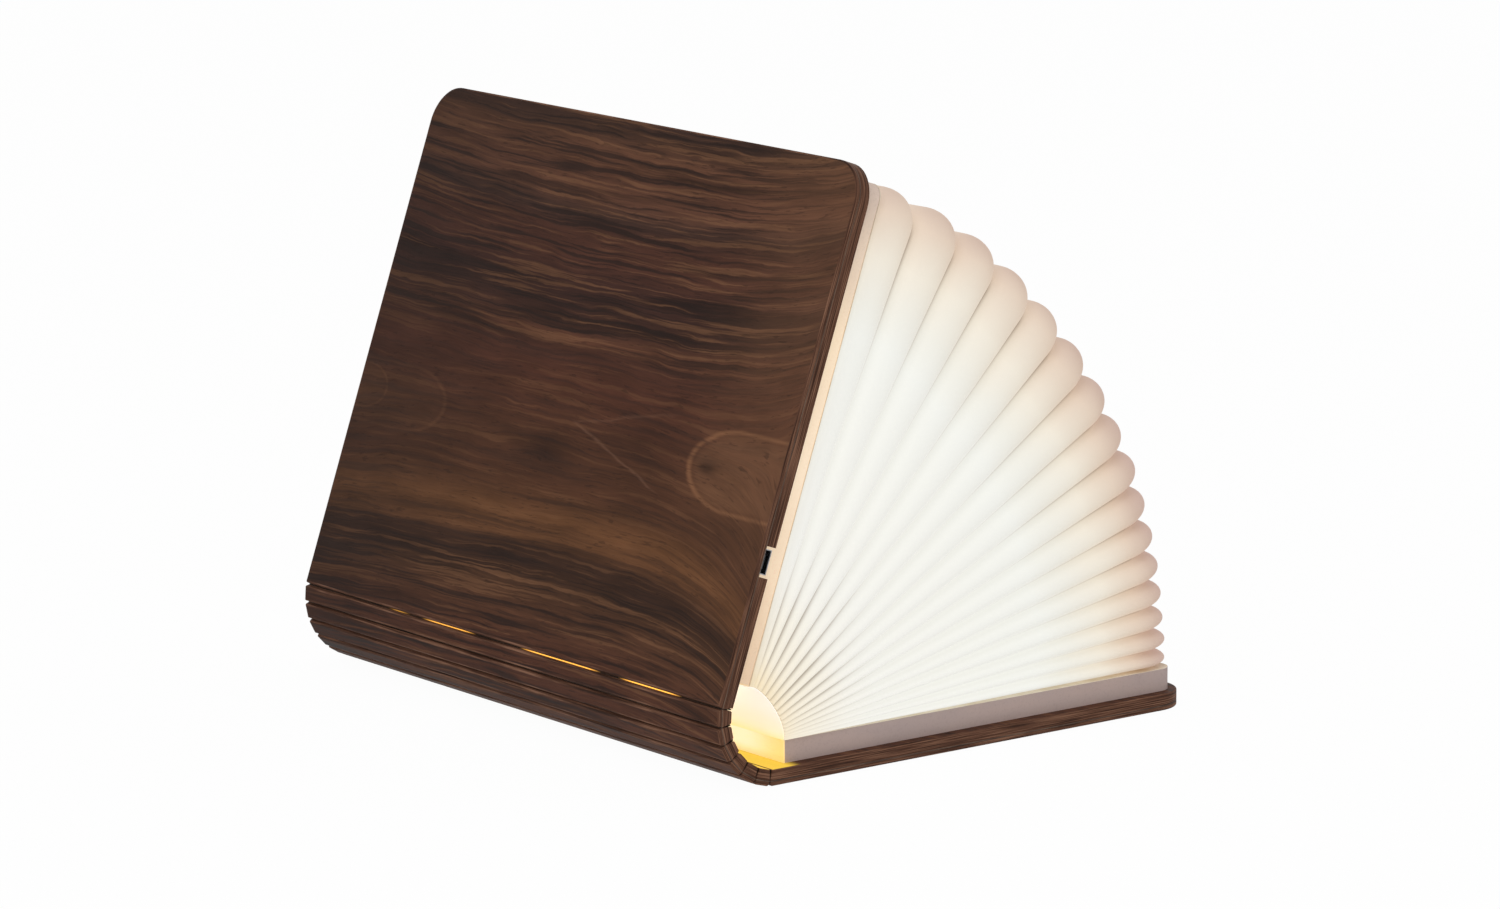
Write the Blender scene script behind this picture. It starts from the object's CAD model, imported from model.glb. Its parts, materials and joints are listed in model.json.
"""Looks of the folding book lamp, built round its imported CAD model.

Lengths are in metres in the frame of the CAD model. Drawings square to the spine use (x, z).
The attribute "grain" of a wooden piece holds, in millimetres, the distance across the grain from
the upper fold line, the distance from the head edge, and the height off the fold plane. "sheet" of a
leaf holds the place from seam to seam (-1 to 1), from the seam line to the crest (0 to 1) and from
the spine to the fore-edge (0 to 1), and of the gutter the share of the way up. "page" of a leaf
holds its share of the opening and its place from head to tail (-1 to 1).
"""
import json
import math

import bpy
import numpy as np
from bpy.props import FloatProperty, FloatVectorProperty, IntProperty, IntVectorProperty, PointerProperty
from mathutils import Matrix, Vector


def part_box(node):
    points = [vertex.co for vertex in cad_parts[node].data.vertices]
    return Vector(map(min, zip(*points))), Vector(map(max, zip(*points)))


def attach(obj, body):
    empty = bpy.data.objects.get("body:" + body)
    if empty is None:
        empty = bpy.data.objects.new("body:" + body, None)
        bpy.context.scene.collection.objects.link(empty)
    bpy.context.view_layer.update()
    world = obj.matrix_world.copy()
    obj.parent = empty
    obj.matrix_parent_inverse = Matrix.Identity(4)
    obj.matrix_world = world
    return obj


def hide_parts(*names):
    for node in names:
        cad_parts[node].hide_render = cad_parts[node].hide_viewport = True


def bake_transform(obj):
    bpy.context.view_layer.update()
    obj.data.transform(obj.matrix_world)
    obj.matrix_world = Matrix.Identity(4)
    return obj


bl_info = {
    "name": "Folding Book Lamp",
    "version": (1, 0, 0),
    "blender": (4, 5, 0),
    "location": "3D View > Sidebar > Book Lamp",
    "description": "Wooden covers, folding spine, paper leaves and light of a book-shaped lamp",
    "category": "Object",
}

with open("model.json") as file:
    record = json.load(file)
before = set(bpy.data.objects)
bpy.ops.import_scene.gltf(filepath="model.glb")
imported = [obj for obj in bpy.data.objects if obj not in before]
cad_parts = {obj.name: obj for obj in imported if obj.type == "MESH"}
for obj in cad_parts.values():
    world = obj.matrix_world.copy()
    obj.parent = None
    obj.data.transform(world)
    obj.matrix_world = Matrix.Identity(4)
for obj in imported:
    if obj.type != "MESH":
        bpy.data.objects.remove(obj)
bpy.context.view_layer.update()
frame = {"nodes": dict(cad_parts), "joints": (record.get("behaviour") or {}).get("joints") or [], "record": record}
JOINTS = {j["name"]: j for j in frame["joints"]}
RATIOS = {c["joint"]: c["ratio"] for c in frame["record"]["behaviour"]["couplings"]}
SLATS = 6
LEAVES = 16


def corners(node):
    """Lowest and highest corner of a CAD node, as two arrays."""
    low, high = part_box(node)
    return np.array(low), np.array(high)


def pivot(joint):
    """Place (x, z) of a joint's axis."""
    x, _, z = JOINTS[joint]["pos_m"]
    return np.array([x, z])


def ray(angle):
    """Unit direction (x, z) at an angle from the X axis, for one angle or an array of them."""
    return np.stack([np.cos(angle), np.sin(angle)], -1)


# Angle between the covers at rest, and the turn at each fold line
OPEN = math.radians(-2 * JOINTS["opening"]["range_deg"][0])
TURN = (math.pi - OPEN) / (SLATS + 1)

# Boards, measured off the lower cover
FOLD = pivot("fold_1")
UPPER_FOLD = pivot("fold_7")
PITCH = float(np.linalg.norm(pivot("fold_2") - FOLD))
COVER_END, HALF, OUTER_T = corners("lower_cover_outer")[1]
CLOTH = corners("lower_cover_cloth")
CLOTH_T = CLOTH[1][2] - CLOTH[0][2]
INNER_TOP = corners("lower_cover_inner")[1][2]
COVER_W = COVER_END - FOLD[0]
INNER_T = INNER_TOP - OUTER_T - CLOTH_T

# Strips of the lamp, as (start, angle, side): side is 1 where outward is to the left of the angle
LOWER = (FOLD, 0.0, -1)
UPPER = (UPPER_FOLD, OPEN, 1)


def spine_strip(k):
    """Start, angle and side of slat k, counted from the lower cover."""
    steps = math.pi - TURN * np.arange(1, k)
    return FOLD + PITCH * ray(steps).sum(0), math.pi - TURN * k, 1


def on_strip(strip, s, v):
    """Points (x, z) at s along a strip and v outside its fold plane: start + s a + v n, where a is
    the strip's direction and n is a turned a quarter to the strip's outer side."""
    start, angle, side = strip
    a = ray(angle)
    n = side * np.array([-a[1], a[0]])
    return start + np.multiply.outer(s, a) + np.multiply.outer(v, n)


# Boards as drawn: rounding of the rims at the cloth, the flat margin inside each rim, the corner radius
# at fold lines, the least radius, and the steps of a corner and of a rim
CLOTH_RIM = 0.00006
RIM_MARGIN = 0.0003
FOLD_CORNER = 0.0003
LEAST_RADIUS = 0.00005
CORNER_STEPS = 14
RIM_STEPS = 4

# Cloth in the folds: radius and sides of the round in each groove, how far it ends inside the boards'
# ends, how far the lining reaches into the boards and stays off their faces, and a grain for it that
# no light reaches
ROUND_RADIUS = 0.00016
ROUND_SIDES = 12
CLOTH_END = 0.0004
LINING_HOLD = 0.0003
LINING_INSET = 0.0001
LINING_GRAIN = -120

# Fan: the share of the opening at each of seams 0 to 16, the axes that the seams turn about at rest,
# the same axes on the closed lamp, the glue gap on each side of a seam, the paper's thickness, and the
# gutter paper's distance from the boxes' spine walls and its thickness
SHARE = np.append(0.0, np.cumsum([RATIOS["leaf_turn_%02d" % i] for i in range(1, LEAVES + 1)]) / 2)
AXES = np.array([pivot("leaf_turn_%02d" % max(i, 1)) for i in range(LEAVES + 1)])
LINKS = np.linalg.norm(np.diff(AXES[1:], axis=0), axis=1)[:, None] * ray(math.pi - SHARE[1:-1] * math.pi)
SHUT = AXES[1] + np.vstack([[0, 0], [0, 0], np.cumsum(LINKS, 0)])
ENDPAPER_TOP = corners("lower_endpaper")[1][2]
BOX = corners("lower_box_frame")
GLUE = 0.00002
PAPER = ENDPAPER_TOP - corners("lower_endpaper")[0][2]
GUTTER_GAP = 0.0001
GUTTER_THICK = 0.0002

# Stage: half of the floor's side, how far it lies under the lamp, and the size, place and aim of the
# soft light
FLOOR_HALF = 2.0
FLOOR_DROP = 0.00005
LIGHT_SIZE = 0.7
LIGHT_AT = np.array([-0.75, -0.75, 0.95])
LIGHT_AIM = np.array([0.0, 0.0, 0.07])

# Camera of the fit to the photograph: azimuth, elevation and roll in degrees, and how far it stands
# back, to the side and up from the lower fold line, in its own picture plane
CAMERA_ANGLES = (-37.2159, 11.2955, -0.3531)
CAMERA_BACK = 1.9604809
CAMERA_SIDE = 0.0592259
CAMERA_RISE = 0.0798655


def on_seam(i, x, y, bulge):
    """Points at rest of places x, y on the closed lamp's seam i: each is moved out along its page by
    4 bulge share (1 - share), turned about the seam's axis by its share of the opening, and carried
    with the axis from closed to rest. x and y are arrays."""
    level = ENDPAPER_TOP + GLUE + 2 * PAPER * i
    turn = OPEN * SHARE[i]
    dx, dz = x + 4 * bulge * SHARE[i] * (1 - SHARE[i]) - SHUT[i, 0], level - SHUT[i, 1]
    return np.stack([AXES[i, 0] + dx * np.cos(turn) - dz * np.sin(turn), np.broadcast_to(y, np.shape(dx)),
                     AXES[i, 1] + dx * np.sin(turn) + dz * np.cos(turn)], -1)


# Mesh helpers

def quads(rows, cols, wrap=False):
    """Faces of a grid of points numbered row by row. wrap joins the last column to the first."""
    r = np.arange(rows - 1)[:, None] * cols
    a = np.arange(cols if wrap else cols - 1)[None, :]
    b = (a + 1) % cols
    return np.stack([r + a, r + b, r + cols + b, r + cols + a], -1).reshape(-1, 4)


def volume(points, faces):
    """Volume enclosed by faces of four: a sixth of the sum of the triple products of their halves."""
    a, b, c, d = (points[faces[:, k]] for k in range(4))
    return ((a * np.cross(b, c)).sum() + (a * np.cross(c, d)).sum()) / 6


def added(name, data):
    """New object of the scene."""
    obj = bpy.data.objects.new(name, data)
    bpy.context.scene.collection.objects.link(obj)
    return obj


def tube(name, rings, smooth=35, **attributes):
    """Closed skin through rings of points, an array (rings, points, 3). Each end is closed by strips
    between the points j and n - 1 - j of its ring, so a ring folds flat onto its own mirror line.
    Attributes are arrays over the same grid, of three values or one. Faces are turned outwards."""
    count, n = rings.shape[:2]
    j = np.arange(n // 2 - 1)
    cap = np.stack([j, j + 1, n - 2 - j, n - 1 - j], 1)
    faces = np.vstack([quads(count, n, True), cap[:, ::-1], cap + (count - 1) * n])
    points = rings.reshape(-1, 3)
    if volume(points, faces) < 0:
        faces = faces[:, ::-1]
    mesh = bpy.data.meshes.new(name)
    mesh.from_pydata(points.tolist(), [], faces.tolist())
    mesh.shade_smooth()
    mesh.set_sharp_from_angle(angle=math.radians(smooth))
    for key, values in attributes.items():
        values = np.broadcast_to(values, (count, n) + np.shape(values)[2:])
        kind = "FLOAT_VECTOR" if values.ndim == 3 else "FLOAT"
        layer = mesh.attributes.new(key, kind, "POINT")
        layer.data.foreach_set("vector" if values.ndim == 3 else "value", values.astype(np.float32).ravel())
    return added(name, mesh)


def along_spine(ring, y):
    """Rings for tube: one ring, an array of (x, z), repeated at each of the places y."""
    grid = (len(y), len(ring))
    return np.stack([np.broadcast_to(v, grid) for v in (ring[:, 0], y[:, None], ring[:, 1])], -1)


def dress(obj, body, nodes, material):
    """Lets a piece ride on a body, stand for CAD nodes and wear a material."""
    obj.data.materials.append(material)
    if body:
        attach(obj, body)
    if nodes:
        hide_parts(*nodes)


def hang(obj):
    """Hangs a piece between two bodies, by each vertex's share of the way from the first to the next."""
    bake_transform(obj)


def paint_node(name, material):
    """Gives a CAD node a material in each of its slots."""
    obj = frame["nodes"][name]
    if not obj.material_slots:
        obj.data.materials.append(material)
    for place in obj.material_slots:
        place.material = material


def outline(s0, s1, half, r0, r1):
    """Plan of a board from s0 to s1 and -half to half: quarter circles of radius r0 and r1 at the
    head corners, and the same points mirrored at the tail, last to first."""
    a = np.radians(np.linspace(180, 270, CORNER_STEPS + 1))
    b = a + math.pi / 2
    head = np.vstack([
        np.stack([s0 + r0 + r0 * np.cos(a), -half + r0 + r0 * np.sin(a)], 1),
        np.stack([s1 - r1 + r1 * np.cos(b), -half + r1 + r1 * np.sin(b)], 1)])
    return np.vstack([head, head[::-1] * [1, -1]])


def board(name, strip, length, v0, v1, shift, fold_end, look):
    """Board along a strip from height v0 to v1. Its plan is drawn once for each step of a profile
    that rounds both rims by quarter circles: inset = r (1 - sin f), height = v + r (1 - cos f). The
    sides at fold lines are cut back by core / 2 + |v| tan(slope)."""
    turn = np.linspace(0, math.pi / 2, RIM_STEPS)
    back = turn[::-1]
    near, far = (look.rim_round, CLOTH_RIM) if abs(v0) > abs(v1) else (CLOTH_RIM, look.rim_round)
    inset = np.concatenate([[near + RIM_MARGIN], near * (1 - np.sin(turn)),
                            far * (1 - np.sin(back)), [far + RIM_MARGIN]])
    height = np.concatenate([[v0], v0 + near * (1 - np.cos(turn)), v1 - far * (1 - np.cos(back)), [v1]])
    rim = np.concatenate([[0], np.ones(len(turn) * 2), [0]])
    end_corner = FOLD_CORNER if fold_end else look.corner_radius
    rings = []
    for i, v in zip(inset, height):
        groove = look.groove_core / 2 + abs(v) * math.tan(look.groove_slope)
        end = length - i - (groove if fold_end else 0)
        rings.append(outline(groove + i, end, HALF - i, max(FOLD_CORNER - i, LEAST_RADIUS),
                             max(end_corner - i, LEAST_RADIUS)))
    plan = np.array(rings)
    v = np.broadcast_to(height[:, None], plan.shape[:2])
    xz = on_strip(strip, plan[..., 0], v)
    points = np.stack([xz[..., 0], plan[..., 1], xz[..., 1]], -1)
    across = (plan[..., 0] * (-1 if strip is LOWER else 1) + shift) * 1000
    grain = np.stack([across, (plan[..., 1] + HALF) * 1000, v * 1000], -1)
    return tube(name, points, grain=grain, rim=np.repeat(rim[:, None], plan.shape[1], 1))


# Material helpers

def tint(r, g, b):
    """Linear colour of a display colour in 0 to 255: ((c / 255 + 0.055) / 1.055) to the power 2.4."""
    c = (np.array([r, g, b]) / 255 + 0.055) / 1.055
    return (*(c ** 2.4).tolist(), 1.0)


class Graph:
    """Short calls for the nodes of a material or a world. A value may be a number, a triple or a socket."""

    def __init__(self, owner):
        self.owner = owner
        owner.use_nodes = True
        self.tree = owner.node_tree
        self.tree.nodes.clear()

    def node(self, kind, inputs=(), output=0, **settings):
        """Adds a node. Gives back one of its outputs, or the node itself where output is None."""
        n = self.tree.nodes.new(kind)
        for key, value in settings.items():
            setattr(n, key, value)
        for key, value in dict(inputs).items():
            if isinstance(value, bpy.types.NodeSocket):
                self.tree.links.new(value, n.inputs[key])
            else:
                n.inputs[key].default_value = value
        return n if output is None else n.outputs[output]

    def math(self, operation, *values):
        return self.node("ShaderNodeMath", dict(enumerate(values)), operation=operation)

    def plus(self, *values):
        """Sum of values, from the first on."""
        total = values[0]
        for value in values[1:]:
            total = self.math("ADD", total, value)
        return total

    def times(self, a, b):
        return self.math("MULTIPLY", a, b)

    def centred(self, value, width):
        """A value in 0 to 1 taken to -width / 2 to width / 2."""
        return self.math("MULTIPLY_ADD", value, width, -width / 2)

    def apart(self, value, middle):
        """Distance of a value from a middle."""
        return self.math("ABSOLUTE", self.math("SUBTRACT", value, middle))

    def vector(self, operation, *values, output=0):
        return self.node("ShaderNodeVectorMath", dict(enumerate(values)), output, operation=operation)

    def join(self, x, y, z):
        return self.node("ShaderNodeCombineXYZ", dict(enumerate((x, y, z))))

    def split(self, value):
        return tuple(self.node("ShaderNodeSeparateXYZ", {0: value}, None).outputs)

    def attribute(self, name, output="Vector"):
        return self.node("ShaderNodeAttribute", output=output, attribute_name=name)

    def place(self, at=(0, 0, 0), turn=0.0):
        """Object coordinates in millimetres, from a point and turned about the Y axis."""
        here = self.node("ShaderNodeTexCoord", output="Object")
        there = self.vector("SUBTRACT", here, at)
        if turn:
            there = self.node("ShaderNodeMapping", {"Vector": there, "Rotation": (0, turn, 0)})
        return self.vector("MULTIPLY", there, (1000, 1000, 1000))

    def noise(self, at, scale, detail=2, roughness=0.5):
        """Noise in 0 to 1 whose spots are about as large, in millimetres, as the scale says."""
        counted = self.vector("DIVIDE", at, scale)
        return self.node("ShaderNodeTexNoise", {"Vector": counted, "Scale": 1, "Detail": detail,
                                                "Roughness": roughness})

    def ease(self, value, low, high, start=0.0, end=1.0):
        """start below low, end above high, and a smooth step between."""
        return self.node("ShaderNodeMapRange", {0: value, 1: low, 2: high, 3: start, 4: end},
                         interpolation_type="SMOOTHSTEP")

    def hump(self, at, centre, reach, height):
        """height * exp(-d * d), d being the distance from a centre counted in reaches."""
        d = self.vector("DIVIDE", self.vector("SUBTRACT", at, centre), reach)
        square = self.vector("DOT_PRODUCT", d, d, output=1)
        return self.times(self.math("EXPONENT", self.times(square, -1)), height)

    def ramp(self, value, *stops):
        """Colour by a value, from stops of (value, colour)."""
        n = self.node("ShaderNodeValToRGB", {0: value}, None)
        elements = n.color_ramp.elements
        while len(elements) < len(stops):
            elements.new(0.5)
        for element, (at, colour) in zip(elements, stops):
            element.position, element.color = at, (*colour[:3], 1.0)
        return n.outputs[0]

    def mix(self, share, a, b, blend="MIX"):
        return self.node("ShaderNodeMix", {0: share, 6: a, 7: b}, 2, data_type="RGBA", blend_type=blend)

    def bump(self, height, depth, strength=1.0):
        """Normal of a height in 0 to 1 that stands for depth metres."""
        return self.node("ShaderNodeBump", {"Height": height, "Distance": depth, "Strength": strength})

    def surface(self, **inputs):
        """Principled surface. Names of inputs are written with _ for a space."""
        named = {k.replace("_", " "): v for k, v in inputs.items()}
        return self.finish(self.node("ShaderNodeBsdfPrincipled", named))

    def finish(self, shader):
        self.node("ShaderNodeOutputMaterial", {"Surface": shader}, None)
        return self.owner


# Materials. Their distances are in millimetres, as in the attribute "grain"

# Walnut figure: width and height of the cover that it is drawn for, and its colours across the grain,
# from the upper fold line to the fore-edge
FIGURE_WIDE = 162
FIGURE_TALL = 215
FIGURE = ((0, (80, 49, 37)), (12, (82, 53, 38)), (20, (71, 47, 33)), (26, (55, 36, 27)), (31, (61, 40, 29)),
          (34, (96, 63, 41)), (41, (106, 70, 45)), (46, (88, 57, 38)), (52, (78, 49, 34)), (62, (75, 47, 33)),
          (80, (79, 47, 35)), (89, (71, 43, 33)), (93, (90, 57, 42)), (97, (67, 42, 33)), (103, (55, 35, 29)),
          (110, (61, 38, 32)), (117, (75, 46, 36)), (125, (73, 45, 35)), (131, (61, 42, 35)),
          (138, (96, 63, 48)), (145, (82, 53, 40)), (151, (94, 62, 46)), (157, (65, 44, 34)),
          (162, (57, 39, 33)))

# Tongues of plain wood: middle across the grain, neck along it, half width, length, the way that it
# points along the grain, and strength
TONGUES = ((66.5, 20, 12, 23, 1, 1.0), (64, 188, 10, 20, -1, 0.3), (65, 212, 7, 12, -1, 0.4))

# Two light lines that meet in a point: the point, and each line's slope and strength
POINT = (70, 102)
POINTED_LINES = ((-0.32, 0.4), (0.19, 0.2))

# Soft dark shades: centre, reach and strength, on the board itself and along its figure
BOARD_SHADES = (((66, 34, 1), (2, 4.5, 90), 0.85), ((59, 112, 1), (5, 11, 90), 0.55))
FIGURE_SHADES = (((147, 60, 1), (0.8, 36, 90), 0.8), ((90, 160, 1), (1.2, 40, 90), 0.5))

# Light that leaks at the first groove: start and end of each stretch from the head edge, and strength
LEAKS = ((22, 48, 1.0), (62, 98, 0.9), (126, 150, 0.7), (161, 168, 0.35))

# Light through the paper, by the reach of a point from the spine to the crests
PAPER_GLOW = ((0.0, (0.61, 0.53, 0.38)), (0.06, (0.61, 0.58, 0.5)), (0.18, (0.61, 0.61, 0.58)),
              (0.68, (0.61, 0.62, 0.59)), (0.84, (0.57, 0.54, 0.46)), (0.93, (0.44, 0.36, 0.28)),
              (0.975, (0.3, 0.22, 0.17)), (1.0, (0.26, 0.18, 0.15)))

# Light through the sides of a box, by the distance from its fold line as a share of BOX_LONG
BOX_LONG = 160
LOWER_SIDE = ((0, (0, 0, 0)), (1, (0.01, 0.01, 0.01)))
UPPER_SIDE = ((0.05, (0.36, 0.24, 0.12)), (0.2, (0.42, 0.31, 0.18)), (0.45, (0.55, 0.45, 0.3)),
              (0.7, (0.5, 0.4, 0.25)), (0.85, (0.34, 0.27, 0.19)), (0.98, (0.1, 0.08, 0.07)))
NO_LIGHT = (0, 0, 0, 1)


def wood_field(g, grain):
    """Field that the figure follows, and the mottle in it. With s across the grain and y along it, the
    field is s + b(s) (exp(-y / 22) + 0.45 exp((y - 215) / 60)) and some noise. b falls from 17 below
    the heart of the figure, at s = 46, to -9 above it, at s = 92, and is less towards the spine: 0.4
    of that at s = -10 and all of it at s = 40."""
    s, y, w = g.split(grain)
    tail = g.math("EXPONENT", g.math("DIVIDE", g.math("SUBTRACT", y, FIGURE_TALL), 60))
    ends = g.plus(g.math("EXPONENT", g.math("DIVIDE", y, -22)), g.times(tail, 0.45))
    bend = g.times(g.ease(s, 46, 92, 17, -9), g.ease(s, -10, 40, 0.4, 1))
    field = g.plus(s, g.times(bend, ends), g.centred(g.noise(grain, (45, 150, 90)), 9))
    mottle = g.noise(g.join(field, y, w), (6, 26, 9), 3, 0.55)
    return g.plus(field, g.centred(mottle, 3.5)), mottle


def wood_streaks(g, face, field, flow, streaks, look):
    """Broad dark bands, fine dark streaks and fine light ones, stronger in the two busy parts of the
    figure. Each share is ease(noise) * (busy * more + least)."""
    light, dark = tint(*look.wood_light), tint(*look.wood_dark)
    busy = g.math("MAXIMUM", g.ease(field, 84, 96), g.ease(field, 34, 22))
    broad = g.noise(flow, (5, 120, 20))
    for noise, none, full, more, least, colour in (
            (broad, 0.47, 0.36, 0.35, 0.2, dark), (streaks, 0.49, 0.38, 0.4, 0.35, dark),
            (streaks, 0.52, 0.64, 0.25, 0.25, light)):
        share = g.times(g.ease(noise, none, full), g.math("MULTIPLY_ADD", busy, more, least))
        face = g.mix(share, face, colour)
    return face


def wood_tongues(g, face, s, y, mottle, streaks, light):
    """Tongues of plain wood with a light outline: bands along the grain that end in a half ellipse."""
    for middle, neck, half, length, side, strength in TONGUES:
        along = g.math("MAXIMUM", g.times(g.math("SUBTRACT", y, neck), side), 0)
        away = g.join(g.math("DIVIDE", g.math("SUBTRACT", s, middle), half), g.math("DIVIDE", along, length),
                      g.centred(mottle, 0.9))
        reach = g.vector("LENGTH", away, output=1)
        edge = g.times(g.ease(g.apart(reach, 1), 0.09, 0.0), g.ease(streaks, 0.3, 0.55, 0.25, 1))
        face = g.mix(g.times(g.ease(reach, 1.02, 0.8), 0.3 * strength), face, light)
        face = g.mix(g.times(edge, 0.75 * strength), face, tint(128, 88, 62))
    return face


def wood_lines(g, face, s, y, mottle):
    """The lines that meet at POINT. A line lies where |s - 70 - slope (102 - y)| is under 0.8."""
    tip = g.math("SUBTRACT", POINT[1], y)
    fade = g.times(g.ease(y, 50, 62), g.ease(y, 104, 98))
    for slope, strength in POINTED_LINES:
        off = g.math("SUBTRACT", s, g.math("MULTIPLY_ADD", tip, slope, POINT[0]))
        off = g.plus(off, g.centred(mottle, 5))
        line = g.times(g.ease(g.math("ABSOLUTE", off), 0.8, 0.0), fade)
        face = g.mix(g.times(line, strength), face, tint(120, 86, 68))
    return face


def wood_shades(g, face, field, flow, grain, look):
    """Soft dark shades, a lighter head end above the middle of the figure, and a darker tail end."""
    y = g.split(grain)[1]
    shade = g.plus(*(g.hump(grain, *hump) for hump in BOARD_SHADES),
                   *(g.hump(flow, *hump) for hump in FIGURE_SHADES))
    face = g.mix(shade, face, tint(*look.wood_dark))
    head = g.times(g.ease(y, 60, 5), g.ease(field, 40, 70, 0.05, 0.3))
    face = g.mix(head, face, tint(*look.wood_light))
    return g.mix(g.times(g.ease(y, 110, 225), 0.45), face, tint(38, 28, 25))


def walnut(name, look, placed=None, edge_from=None, lit=False):
    """Dark walnut, with its plies at the rim. placed is the place and turn of a CAD node, which has no
    attributes, and edge_from gives the heights off the fold plane between which its rim starts. lit
    lays the lamp's light on the inner faces on both sides of the lower fold line."""
    g = Graph(bpy.data.materials.new(name))
    grain = g.place(*placed) if placed else g.attribute("grain")
    s, y, w = g.split(grain)
    rim = g.ease(w, *edge_from) if edge_from else g.attribute("rim", "Fac")
    field, mottle = wood_field(g, grain)
    flow = g.join(field, y, w)
    streaks = g.noise(flow, (1.7, 85, 20), 3, 0.62)
    fibres = g.noise(flow, (0.34, 9, 3))
    pores = g.ease(g.noise(flow, (0.55, 5, 1), 1), 0.63, 0.72)
    face = g.ramp(g.math("DIVIDE", field, FIGURE_WIDE),
                  *((at / FIGURE_WIDE, tint(*colour)) for at, colour in FIGURE))
    face = wood_streaks(g, face, field, flow, streaks, look)
    face = wood_tongues(g, face, s, y, mottle, streaks, tint(*look.wood_light))
    face = wood_lines(g, face, s, y, mottle)
    face = wood_shades(g, face, field, flow, grain, look)
    grey = g.plus(g.math("MULTIPLY_ADD", mottle, 0.9, 0.3), g.times(fibres, 0.5))
    face = g.mix(1.0, face, g.join(grey, grey, grey), "MULTIPLY")
    face = g.mix(g.times(pores, 0.35), face, tint(34, 22, 17))
    layers = g.noise(grain, (22, 22, 0.3), 3, 0.6)
    plies = g.ramp(layers, (0.36, tint(52, 34, 26)), (0.5, tint(92, 62, 48)), (0.66, tint(138, 101, 80)))
    relief = g.plus(g.times(fibres, 0.5), g.times(pores, -0.7), g.times(layers, 0.2))
    glow = {}
    if lit:
        beside = g.times(g.times(g.ease(s, -20, -28), g.ease(s, -45, -39.5)), g.ease(w, -3.35, -3.45))
        glow = {"Emission_Color": g.mix(beside, NO_LIGHT, (0.86, 0.56, 0.05, 1)), "Emission_Strength": 1.0}
    return g.surface(Base_Color=g.mix(g.ease(rim, 0.4, 1), face, plies), Specular_IOR_Level=0.06,
                     Roughness=g.ease(streaks, 0.3, 0.7, 0.5, 0.64),
                     Normal=g.bump(relief, 0.00007, 0.6), **glow)


def worked(name, dark, light, size, depth, roughness=(0.4, 0.6), **more):
    """A finish whose colour wanders between two tones in spots of a size, with a fine relief."""
    g = Graph(bpy.data.materials.new(name))
    at = g.place()
    colour = g.ramp(g.noise(at, size, 4, 0.6), (0.34, tint(*dark)), (0.66, tint(*light)))
    fine = g.noise(at, tuple(v / 6 for v in size))
    return g.surface(Base_Color=colour, Roughness=g.ease(fine, 0.3, 0.7, *roughness),
                     Normal=g.bump(fine, depth, 0.5), **more)


def hinge_cloth():
    """Brown bookbinding cloth: two sets of threads, sin(15.7 (x + z)) sin(15.7 y), under slow stains."""
    g = Graph(bpy.data.materials.new("hinge_cloth"))
    at = g.place()
    x, y, z = g.split(at)
    threads = g.times(g.math("SINE", g.times(g.plus(x, z), 15.7)), g.math("SINE", g.times(y, 15.7)))
    weave = g.plus(g.noise(at, (6, 20, 6), 3), g.times(threads, 0.1))
    colour = g.ramp(weave, (0.3, tint(56, 42, 33)), (0.5, tint(82, 63, 51)), (0.7, tint(112, 90, 74)))
    return g.surface(Base_Color=colour, Roughness=0.85, Normal=g.bump(threads, 0.00003, 0.6))


def fold_cloth(look):
    """Dark cloth in the folds, with amber light through it in a few stretches of the first groove."""
    g = Graph(bpy.data.materials.new("fold_cloth"))
    grain = g.attribute("grain")
    s, y, _ = g.split(grain)
    dull = g.ramp(g.noise(grain, (1, 9, 1), 3), (0.35, tint(30, 20, 14)), (0.65, tint(72, 50, 34)))
    stretches = []
    for start, end, strength in LEAKS:
        inside = g.times(g.ease(y, start - 3, start + 5), g.ease(y, end + 3, end - 5))
        stretches.append(g.times(inside, strength))
    shine = g.times(g.plus(*stretches), g.ease(s, -0.5, -0.1))
    glow = g.mix(shine, NO_LIGHT, tint(*look.leak_colour))
    return g.surface(Base_Color=dull, Roughness=0.9, Emission_Color=glow,
                     Emission_Strength=look.leak_strength)


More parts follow.
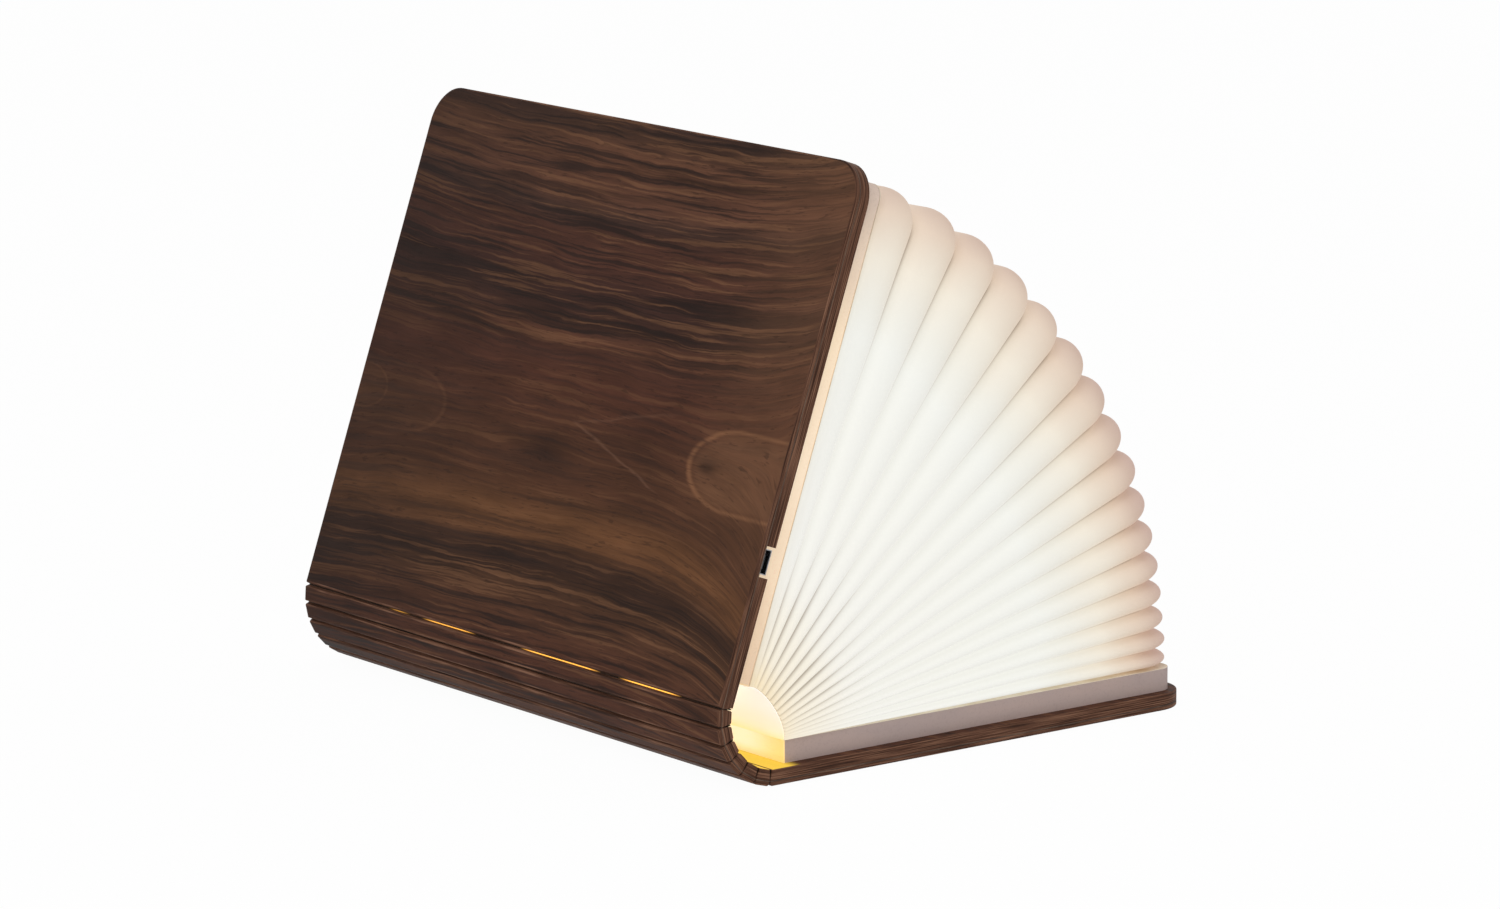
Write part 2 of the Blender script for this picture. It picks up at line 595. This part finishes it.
def leaf_paper(look):
    """Paper lit from within. The light follows the reach of a point from the spine: warm at the spine,
    white over the middle, and pale rose at the crests. A leaf is darker towards its lower seam near
    the crests, and a thin dark line marks the seam."""
    g = Graph(bpy.data.materials.new("leaf_paper"))
    t, f, r = g.split(g.attribute("sheet"))
    share, y, _ = g.split(g.attribute("page"))
    at = g.place()
    reach = g.plus(r, g.centred(g.noise(at, (26, 40, 26)), 0.08), g.math("MULTIPLY_ADD", share, -0.06, 0.04),
                   g.ease(g.math("ABSOLUTE", y), 0.97, 0.7, 0, -0.075))
    base = g.ramp(reach, (0.0, tint(160, 150, 132)), (0.25, tint(152, 150, 145)), (0.75, tint(152, 150, 145)),
                  (0.9, tint(164, 152, 142)), (1.0, tint(*look.crest_colour)))
    glow = g.ramp(reach, *PAPER_GLOW)
    outer = g.ease(g.apart(reach, 0.42), 0.08, 0.5, 0.15, 1)
    lower = g.times(g.ease(t, 0.3, -0.9), outer)
    glow = g.mix(g.times(lower, 0.35), glow, (0.34, 0.25, 0.17, 1))
    valley = g.plus(f, g.ease(reach, 0.05, 0.45, -0.26, 0))
    line = g.times(g.ease(valley, 0.68, 0.52), g.math("MULTIPLY_ADD", outer, 0.3, 0.7))
    glow = g.mix(line, glow, (0.14, 0.11, 0.08, 1))
    base = g.mix(g.times(line, 0.7), base, tint(120, 104, 88))
    fibre = g.noise(at, (0.5, 0.5, 0.5), 3, 0.7)
    base = g.mix(g.ease(fibre, 0.55, 0.8, 0, 0.12), base, tint(214, 200, 178))
    return g.surface(Base_Color=base, Roughness=0.78, Specular_IOR_Level=0.25, Emission_Color=glow,
                     Emission_Strength=look.glow, Normal=g.bump(fibre, 0.00004, 0.35))


def gutter_sheet(look):
    """Paper over the spine-side ends of the leaves: white at the top, peach towards the lower box."""
    g = Graph(bpy.data.materials.new("gutter_paper"))
    u = g.split(g.attribute("sheet"))[0]
    at = g.place()
    soft = g.plus(u, g.centred(g.noise(at, (14, 50, 14)), 0.2))
    base = g.ramp(soft, (0, tint(230, 206, 150)), (0.25, tint(226, 212, 190)), (0.6, tint(222, 217, 212)))
    glow = g.ramp(soft, (0, (0.5, 0.4, 0.2)), (0.22, (0.56, 0.5, 0.38)), (0.55, (0.58, 0.56, 0.53)))
    fibre = g.noise(at, (0.5, 2, 0.5), 3, 0.7)
    return g.surface(Base_Color=base, Roughness=0.8, Specular_IOR_Level=0.25, Emission_Color=glow,
                     Emission_Strength=look.glow, Normal=g.bump(fibre, 0.00004, 0.3))


def box_board(name, look, placed, dim, warm, wall_light, side_light):
    """Grey board with a rosy cast, its fibres laid along the grain. Light from the spine falls on its
    spine wall, deeper in colour at the wall's two ends and its foot, and light from the leaves comes
    through its sides by the stops of a ramp along it."""
    g = Graph(bpy.data.materials.new(name))
    at = g.place(*placed)
    s, y, v = g.split(at)
    fibre = g.noise(at, (0.6, 3, 0.6), 4, 0.65)
    cloud = g.noise(at, (30, 30, 9))
    base = g.ramp(cloud, (0.3, tint(*dim)), (0.7, tint(*warm)))
    base = g.mix(g.ease(fibre, 0.5, 0.75, 0, 0.25), base, tint(132, 112, 104))
    side = g.ramp(g.math("DIVIDE", s, BOX_LONG), *side_light)
    lamp = g.mix(g.ease(g.math("ABSOLUTE", y), 84, 103), (0.8, 0.7, 0.45, 1), (0.68, 0.5, 0.1, 1))
    lamp = g.mix(g.ease(v, 6.5, 3.5, 0, 0.6), lamp, (0.6, 0.38, 0.04, 1))
    glow = g.mix(g.times(g.ease(s, 8.6, 8.2), wall_light), side, lamp)
    return g.surface(Base_Color=base, Roughness=0.7, Specular_IOR_Level=0.3, Emission_Color=glow,
                     Emission_Strength=look.glow, Normal=g.bump(fibre, 0.00005, 0.4))


# Sizes and colours that a user would change

class BoardLook(bpy.types.PropertyGroup):
    """Covers and slats"""
    corner_radius: FloatProperty(
        name="Corner radius", description="Radius of the covers' fore-edge corners",
        default=0.012, unit="LENGTH")
    rim_round: FloatProperty(
        name="Rim round", description="Radius of the rounded rims",
        default=0.0004, unit="LENGTH", precision=5)
    groove_core: FloatProperty(
        name="Groove width", description="Clear width of a groove at the cloth",
        default=0.0002, unit="LENGTH")
    groove_slope: FloatProperty(
        name="Groove slope", description="Slope of the sides of a groove",
        default=math.radians(13.5), unit="ROTATION")
    wood_dark: IntVectorProperty(
        name="Dark streaks", description="Display colour of the darkest streaks",
        default=(34, 22, 18), min=0, max=255)
    wood_light: IntVectorProperty(
        name="Light streaks", description="Display colour of the lightest streaks",
        default=(122, 86, 62), min=0, max=255)


class LeafLook(bpy.types.PropertyGroup):
    """Paper leaves and gutter"""
    depth: FloatProperty(
        name="Leaf depth", description="Distance from crest to glued seams", default=0.015, unit="LENGTH")
    proud: FloatProperty(
        name="Stand out", description="How far the leaves stand out past the boxes",
        default=0.001, unit="LENGTH")
    corner: FloatProperty(
        name="Crest corner", description="Corner radius at the crest", default=0.011, unit="LENGTH")
    bulge: FloatProperty(
        name="Bulge", description="How far the middle of the fan bulges away from the spine",
        default=0.0045, unit="LENGTH")
    seam_corner: FloatProperty(
        name="Seam corner", description="Corner radius at the seams", default=0.001, unit="LENGTH")
    least_room: FloatProperty(
        name="Least width", description="Least share of its room that a leaf fills",
        default=0.35, subtype="FACTOR")
    sway: FloatProperty(
        name="Sway", description="How far a crest wanders in and out",
        default=0.00025, unit="LENGTH", precision=5)
    across: IntProperty(name="Steps across", description="Points from seam to seam", default=25, min=9)
    crest_colour: IntVectorProperty(
        name="Crest", description="Display colour of the paper near the crests",
        default=(172, 152, 142), min=0, max=255)
    glow: FloatProperty(name="Glow", description="Strength of the light through the paper", default=1.0)


class LightLook(bpy.types.PropertyGroup):
    """Light board, and the light that leaks at the first groove"""
    glow: FloatProperty(name="Box glow", description="Strength of the light on the boxes", default=1.0)
    channel_colour: FloatVectorProperty(
        name="Channel", description="Light of the frosted channel", subtype="COLOR", default=(1.0, 0.8, 0.5))
    channel_strength: FloatProperty(
        name="Channel light", description="Strength of the frosted channel", default=3.0)
    leak_colour: IntVectorProperty(
        name="Leak", description="Display colour of the leaking light",
        default=(255, 178, 72), min=0, max=255)
    leak_strength: FloatProperty(
        name="Leak light", description="Strength of the leaking light", default=2.0)


class StageLook(bpy.types.PropertyGroup):
    """Floor, lamps and camera"""
    key_power: FloatProperty(
        name="Key light", description="Power of the soft lamp", default=5.0, unit="POWER")
    sky: FloatProperty(name="Sky", description="Strength of the plain light all round", default=0.62)
    floor_white: FloatProperty(
        name="Floor white", description="Share of plain white in the floor", default=0.97, subtype="FACTOR")
    lens: FloatProperty(name="Lens", description="Focal length", default=155.4887, unit="CAMERA")


# Operators, one for each piece or group of like pieces

class BOOKLAMP_OT_boards(bpy.types.Operator):
    """Builds the outer and inner boards of both covers and of the six slats"""
    bl_idname = "booklamp.boards"
    bl_label = "Boards"

    def execute(self, context):
        look = context.scene.booklamp_boards
        veneer = walnut("walnut_veneer", look)
        core = walnut("walnut_core", look, lit=True)
        v = CLOTH_T / 2
        spine = SLATS * PITCH
        rows = [("lower_cover", LOWER, COVER_W, -spine, False), ("upper_cover", UPPER, COVER_W, 0, False)]
        for k in range(1, SLATS + 1):
            rows.append(("slat_%d" % k, spine_strip(k), PITCH, (k - 1) * PITCH - spine, True))
        for body, strip, length, shift, is_slat in rows:
            outer = board(body + "_veneer", strip, length, v, v + OUTER_T, shift, is_slat, look)
            dress(outer, body, [body + "_outer"], veneer)
            if body != "upper_cover":
                inner = board(body + "_core", strip, length, -v - INNER_T, -v, shift, is_slat, look)
                dress(inner, body, [body + "_inner"], core)
        at = ((UPPER_FOLD[0], -HALF, UPPER_FOLD[1]), OPEN)
        inside = -(v + INNER_T) * 1000
        cut_out = walnut("walnut_core_cut_out", look, at, (inside + 0.03, inside + 0.08))
        paint_node("upper_cover_inner", cut_out)
        return {"FINISHED"}


class BOOKLAMP_OT_fold_cloth(bpy.types.Operator):
    """Builds the cloth at the bottom of the seven grooves and the lining between the inner boards, and
    the look of the cloth between the plies"""
    bl_idname = "booklamp.fold_cloth"
    bl_label = "Fold cloth"

    def execute(self, context):
        look = context.scene.booklamp_light
        dark = fold_cloth(look)
        y = np.linspace(-HALF + CLOTH_END, HALF - CLOTH_END, 3)
        for k in range(1, SLATS + 2):
            self.round(k, y, dark)
            # No joint joins the two middle slats, so nothing is hung between them
            if k != SLATS // 2 + 1:
                self.lining(k, y, dark)
        cloth = hinge_cloth()
        for name in frame["nodes"]:
            if name.endswith("_cloth"):
                paint_node(name, cloth)
        return {"FINISHED"}

    def round(self, k, y, material):
        """Round of cloth at the bottom of groove k."""
        centre = spine_strip(k)[0] if k <= SLATS else UPPER_FOLD
        turn = (np.arange(ROUND_SIDES) + 0.5) * math.tau / ROUND_SIDES
        points = along_spine(centre + ROUND_RADIUS * ray(turn), y)
        grain = np.zeros(points.shape)
        grain[..., 0] = (k - 1 - SLATS) * PITCH * 1000
        grain[..., 1] = (points[..., 1] + HALF) * 1000
        obj = tube("fold_cloth_%d" % k, points, 60, grain=grain)
        dress(obj, "slat_%d" % min(k, SLATS), [], material)

    def lining(self, k, y, material):
        """Lining that fills the narrow wedge between the inner boards on both sides of fold k. Its ends
        lie at a on the board before the fold and at b on the board after it, once near the boards'
        inner faces and once near the cloth, and its points go from a to b in half steps."""
        before = LOWER if k == 1 else spine_strip(k - 1)
        after = spine_strip(k) if k <= SLATS else UPPER
        deep = -CLOTH_T / 2 - np.array([INNER_T - LINING_INSET, LINING_INSET])
        a = on_strip(before, LINING_HOLD if k == 1 else PITCH - LINING_HOLD, deep)
        b = on_strip(after, LINING_HOLD, deep)
        share = np.array([0, 0.5, 1])
        face, back = (a[i] + share[:, None] * (b[i] - a[i]) for i in (0, 1))
        points = along_spine(np.vstack([face, back[::-1]]), y)
        grain = np.zeros(points.shape)
        grain[..., 0] = LINING_GRAIN
        obj = tube("fold_lining_%d" % k, points, 60, grain=grain)
        dress(obj, None, [], material)
        hang(obj)


def leaf_route(look):
    """Crest points of a leaf and the seam points inside them, (x, y) on the closed lamp, from the head
    end of the spine side round the fore-edge to the tail end."""
    start = BOX[0][0]
    reach, half = BOX[1][0] + look.proud, BOX[1][1] + look.proud
    ends = ((reach, half, look.corner), (reach - look.depth, half - look.depth, look.seam_corner))
    side, bend, front = 40, 13, 13
    u = np.linspace(0, 1, side, endpoint=False)
    a = np.linspace(math.pi / 2, 0, bend)
    f = np.linspace(0, 1, front + 1, endpoint=False)[1:]
    lines = []
    for x1, y1, r in ends:
        head = np.stack([start + u * (x1 - r - start), np.full(side, -y1)], 1)
        turn = np.stack([x1 - r + r * np.cos(a), -(y1 - r + r * np.sin(a))], 1)
        fore = np.stack([np.full(front, x1), -(y1 - r) * (1 - f)], 1)
        line = np.vstack([head, turn, fore])
        lines.append(np.vstack([line, line[::-1] * [1, -1]]))
    return lines


def wander(walk, phase, look):
    """Share by which a crest wanders in and out at places of a walk along it, in metres: the mean of
    sin(38 walk + p), sin(71 walk + q) and sin(117 walk + r), times sway / depth."""
    waves = sum(np.sin(walk * k + p) for k, p in zip((38, 71, 117), phase))
    return waves / 3 * look.sway / look.depth


def leaf_skin(i, skin, crest, seam, waves, look):
    """Points of the outer or inner skin (0 or 1) of leaf i, their weights and their places on the sheet.
    At t from -1 to 1 across the leaf, with h = sin(t pi / 2), a point lies f = (1 - h h) ** 0.25 of the
    way from the seam line to the crest line, and w = (1 + h room) / 2 of the way from the seam below to
    the seam above, where room leaves space for the glue and for the paper."""
    t = np.linspace(-1, 1, look.across)
    h = np.sin(t * math.pi / 2)
    f = np.maximum(1 - h * h, 0) ** 0.25 * (1 - skin * PAPER / look.depth) * (1 + waves[:, None])
    q = seam[:, None] + f[..., None] * (crest - seam)[:, None]
    low = on_seam(i - 1, q[..., 0], q[..., 1], look.bulge)
    high = on_seam(i, q[..., 0], q[..., 1], look.bulge)
    half = np.linalg.norm(high - low, axis=-1) / 2
    room = np.maximum(1 - (GLUE + skin * PAPER) / half, look.least_room * (1 - skin / 2))
    w = (1 + h * room) / 2
    span = BOX[1][0] + look.proud - BOX[0][0]
    sheet = np.stack([np.broadcast_to(t, f.shape), f, (q[..., 0] - BOX[0][0]) / span], -1)
    return low + (high - low) * w[..., None], w, sheet


class BOOKLAMP_OT_leaves(bpy.types.Operator):
    """Builds the sixteen folded paper leaves between the seams of the fan"""
    bl_idname = "booklamp.leaves"
    bl_label = "Leaves"

    def execute(self, context):
        look = context.scene.booklamp_leaves
        crest, seam = leaf_route(look)
        paper = leaf_paper(look)
        walk = np.append(0, np.cumsum(np.linalg.norm(np.diff(crest, axis=0), axis=1)))
        chance = np.random.default_rng(16)
        for i in range(1, LEAVES + 1):
            waves = wander(walk, chance.uniform(0, math.tau, 3), look)
            outer, inner = (leaf_skin(i, skin, crest, seam, waves, look) for skin in (0, 1))
            points, weights, sheet = (np.concatenate([a, b[:, ::-1]], 1) for a, b in zip(outer, inner))
            page = np.zeros(points.shape)
            page[..., 0] = (SHARE[i - 1] + SHARE[i]) / 2
            page[..., 1] = points[..., 1] / HALF
            obj = tube("paper_leaf_%02d" % i, points, 50, sheet=sheet, page=page)
            dress(obj, None, ["leaf_%02d" % i], paper)
            hang(obj)
        return {"FINISHED"}


def gutter_edge(x, bulge):
    """Smooth curve (x, z) over the number of the seam, of the sixth degree, through the place x of the
    seams on the closed lamp."""
    index = np.arange(LEAVES + 1)
    ends = np.array([on_seam(i, np.array(x), 0.0, bulge) for i in index])[:, [0, 2]]
    return [np.polynomial.Polynomial.fit(index, ends[:, k], 6) for k in (0, 1)]


class BOOKLAMP_OT_gutter(bpy.types.Operator):
    """Builds the gutter paper over the spine-side ends of the leaves, one strip from seam to seam"""
    bl_idname = "booklamp.gutter"
    bl_label = "Gutter paper"

    def execute(self, context):
        look = context.scene.booklamp_leaves
        paper = gutter_sheet(look)
        edges = [gutter_edge(BOX[0][0] - gap, look.bulge) for gap in (GUTTER_GAP, GUTTER_GAP + GUTTER_THICK)]
        y = np.linspace(-BOX[1][1], BOX[1][1], 9)
        for i in range(1, LEAVES + 1):
            u = np.linspace(i - 1, i, 5)
            face, back = (np.stack([across(u), up(u)], 1) for across, up in edges)
            points = along_spine(np.vstack([face, back[::-1]]), y)
            number = np.broadcast_to(np.concatenate([u, u[::-1]]), points.shape[:2])
            sheet = np.zeros(points.shape)
            sheet[..., 0] = number / LEAVES
            obj = tube("gutter_strip_%02d" % i, points, 50, sheet=sheet)
            dress(obj, None, ["gutter_paper"], paper)
            hang(obj)
        return {"FINISHED"}


class BOOKLAMP_OT_boxes(bpy.types.Operator):
    """Gives the two boxes and their endpapers their looks"""
    bl_idname = "booklamp.boxes"
    bl_label = "Boxes"

    def execute(self, context):
        look = context.scene.booklamp_light
        paper = worked("endpaper", (222, 208, 184), (240, 230, 212), (8, 20, 8), 0.00003, (0.7, 0.85))
        low = ((FOLD[0], 0, FOLD[1]), 0.0)
        high = ((UPPER_FOLD[0], 0, UPPER_FOLD[1]), OPEN)
        lower = box_board("box_board_lower", look, low, (178, 160, 156), (190, 168, 160), 1.0, LOWER_SIDE)
        upper = box_board("box_board_upper", look, high, (196, 176, 164), (208, 188, 172), 0.4, UPPER_SIDE)
        for place, board in (("lower", lower), ("upper", upper)):
            paint_node(place + "_box_frame", board)
            paint_node(place + "_box_lid", board)
            paint_node(place + "_endpaper", paper)
        return {"FINISHED"}


class BOOKLAMP_OT_light(bpy.types.Operator):
    """Gives the light board, its chips, the frosted channel and the flat lead their looks"""
    bl_idname = "booklamp.light"
    bl_label = "Light"

    def execute(self, context):
        look = context.scene.booklamp_light
        lit = {"Emission_Color": (*look.channel_colour, 1.0), "Emission_Strength": look.channel_strength}
        paint_node("led_channel", worked(
            "frosted_channel", (250, 236, 206), (255, 246, 224), (2, 6, 2), 0.00004, (0.45, 0.6), **lit))
        paint_node("led_board", worked("light_board", (226, 224, 214), (242, 240, 232), (3, 9, 3), 0.00002))
        paint_node("led_chips", worked(
            "light_chip", (246, 204, 96), (255, 226, 140), (1, 1, 1), 0.00002, (0.2, 0.35), **lit))
        paint_node("led_lead", worked("white_lead", (214, 208, 196), (236, 232, 222), (2, 2, 2), 0.00003))
        return {"FINISHED"}


class BOOKLAMP_OT_power(bpy.types.Operator):
    """Gives the charging socket, the circuit board, the battery and the magnets their looks"""
    bl_idname = "booklamp.power"
    bl_label = "Power"

    def execute(self, context):
        magnet = worked("magnet_nickel", (166, 166, 170), (204, 204, 208), (3, 3, 3), 0.00002, (0.15, 0.3),
                        Metallic=1.0)
        looks = {
            "charge_socket": worked("socket_metal", (120, 120, 124), (172, 172, 176), (0.6, 3, 0.6), 0.00002,
                                    (0.22, 0.4), Metallic=1.0),
            "socket_tongue": worked("socket_plastic", (18, 18, 20), (34, 34, 36), (1, 1, 1), 0.00002),
            "charge_board": worked("circuit_board", (22, 62, 40), (40, 92, 60), (2, 2, 2), 0.00003,
                                   (0.3, 0.45)),
            "board_parts": worked("board_parts", (20, 20, 22), (44, 44, 48), (0.8, 0.8, 0.8), 0.00002),
            "battery": worked("battery_pouch", (150, 154, 160), (184, 188, 192), (9, 16, 9), 0.00012,
                              (0.3, 0.5), Metallic=0.9),
            "battery_pad": worked("foam_pad", (34, 34, 38), (62, 62, 68), (1.2, 1.2, 1.2), 0.0002,
                                  (0.8, 0.95)),
            "battery_lead": worked("red_lead", (142, 28, 24), (184, 48, 40), (2, 2, 2), 0.00003),
            "lower_magnets": magnet,
            "upper_magnets": magnet,
        }
        for name, material in looks.items():
            paint_node(name, material)
        return {"FINISHED"}


class BOOKLAMP_OT_stage(bpy.types.Operator):
    """Builds the white floor, the lamp, the plain sky and the camera"""
    bl_idname = "booklamp.stage"
    bl_label = "Stage"

    def execute(self, context):
        look = context.scene.booklamp_stage
        self.floor(look)
        self.sky(context, look)
        self.lamp(look)
        self.camera(context, look)
        context.scene.view_settings.view_transform = "Standard"
        return {"FINISHED"}

    def rays(self, g):
        """1 for rays from the camera, off gloss and through glass, and 0 for the others."""
        path = g.node("ShaderNodeLightPath", output=None).outputs
        seen = g.math("MAXIMUM", path["Is Camera Ray"], path["Is Glossy Ray"])
        return g.math("MAXIMUM", seen, path["Is Transmission Ray"])

    def floor(self, look):
        """Square of 4 m under the lamp: matt white that keeps a shadow, mixed with plain white."""
        c = FLOOR_HALF * np.array([[-1, -1], [1, -1], [1, 1], [-1, 1]])
        mesh = bpy.data.meshes.new("floor")
        mesh.from_pydata(np.column_stack([c, np.full(4, -FLOOR_DROP)]).tolist(), [], [(0, 1, 2, 3)])
        g = Graph(bpy.data.materials.new("white_floor"))
        matt = g.node("ShaderNodeBsdfDiffuse", {"Color": (0.9, 0.9, 0.9, 1)})
        plain = g.node("ShaderNodeEmission", {"Color": (1, 1, 1, 1), "Strength": 1.0})
        share = g.times(self.rays(g), look.floor_white)
        mesh.materials.append(g.finish(g.node("ShaderNodeMixShader", {0: share, 1: matt, 2: plain})))
        added("floor", mesh)

    def sky(self, context, look):
        """Plain white for the eye and for gloss, and an even soft light for the rest."""
        world = bpy.data.worlds.new("plain_sky")
        context.scene.world = world
        g = Graph(world)
        light = g.node("ShaderNodeBackground", {"Color": (1, 1, 1, 1), "Strength": look.sky})
        white = g.node("ShaderNodeBackground", {"Color": (1, 1, 1, 1), "Strength": 1.0})
        both = g.node("ShaderNodeMixShader", {0: self.rays(g), 1: light, 2: white})
        g.node("ShaderNodeOutputWorld", {"Surface": both}, None)

    def lamp(self, look):
        """Soft square lamp high at the camera's left, turned to the middle of the book."""
        data = bpy.data.lights.new("key_light", "AREA")
        data.energy = look.key_power
        data.size = LIGHT_SIZE
        aim(added("key_light", data), LIGHT_AT, LIGHT_AIM)

    def camera(self, context, look):
        """Camera of the fit to the photograph, turned by the roll about its own line of sight."""
        azimuth, elevation, roll = np.radians(CAMERA_ANGLES)
        right = np.array([math.cos(azimuth), math.sin(azimuth), 0])
        back = np.array([math.sin(azimuth) * math.cos(elevation), -math.cos(azimuth) * math.cos(elevation),
                         math.sin(elevation)])
        up = np.cross(back, right)
        turned = math.cos(roll) * right + math.sin(roll) * up
        upright = -math.sin(roll) * right + math.cos(roll) * up
        data = bpy.data.cameras.new("camera")
        data.sensor_width = 36
        data.lens = look.lens
        data.clip_end = 20
        camera = added("camera", data)
        at = turned * CAMERA_SIDE + upright * CAMERA_RISE + back * CAMERA_BACK + [FOLD[0], 0, 0]
        pose(camera, turned, upright, back, at)
        context.scene.camera = camera


def pose(obj, right, up, back, at):
    """Turns an object's X, Y and Z axes to three directions and puts it at a place."""
    matrix = np.eye(4)
    matrix[:3] = np.column_stack([right, up, back, at])
    obj.matrix_world = Matrix(matrix.tolist())


def aim(obj, at, target):
    """Places an object and turns its -Z axis to a target, with its Y axis as upright as can be."""
    back = (at - target) / np.linalg.norm(at - target)
    right = np.cross([0, 0, 1], back)
    right /= np.linalg.norm(right)
    pose(obj, right, np.cross(back, right), back, at)


STEPS = (BOOKLAMP_OT_stage, BOOKLAMP_OT_boards, BOOKLAMP_OT_fold_cloth, BOOKLAMP_OT_leaves,
         BOOKLAMP_OT_gutter, BOOKLAMP_OT_boxes, BOOKLAMP_OT_light, BOOKLAMP_OT_power)


class BOOKLAMP_PT_panel(bpy.types.Panel):
    """Lists the steps of the book lamp"""
    bl_label = "Book Lamp"
    bl_idname = "BOOKLAMP_PT_panel"
    bl_space_type = "VIEW_3D"
    bl_region_type = "UI"
    bl_category = "Book Lamp"

    def draw(self, context):
        for step in STEPS:
            self.layout.operator(step.bl_idname)


GROUPS = {"booklamp_boards": BoardLook, "booklamp_leaves": LeafLook, "booklamp_light": LightLook,
          "booklamp_stage": StageLook}


def register():
    """Makes the groups, operators and panel known to Blender."""
    for name, group in GROUPS.items():
        bpy.utils.register_class(group)
        setattr(bpy.types.Scene, name, PointerProperty(type=group))
    for step in (*STEPS, BOOKLAMP_PT_panel):
        bpy.utils.register_class(step)


def unregister():
    """Takes them away again, last to first."""
    for step in reversed((*STEPS, BOOKLAMP_PT_panel)):
        bpy.utils.unregister_class(step)
    for name, group in reversed(GROUPS.items()):
        delattr(bpy.types.Scene, name)
        bpy.utils.unregister_class(group)


def plain(box):
    """A box's two corners as lists of numbers."""
    return [[float(c) for c in corner] for corner in box]


def main():
    """Calls the operators in order."""
    register()
    for step in STEPS:
        group, call = step.bl_idname.split(".")
        getattr(getattr(bpy.ops, group), call)()


if __name__ == "__main__":
    main()
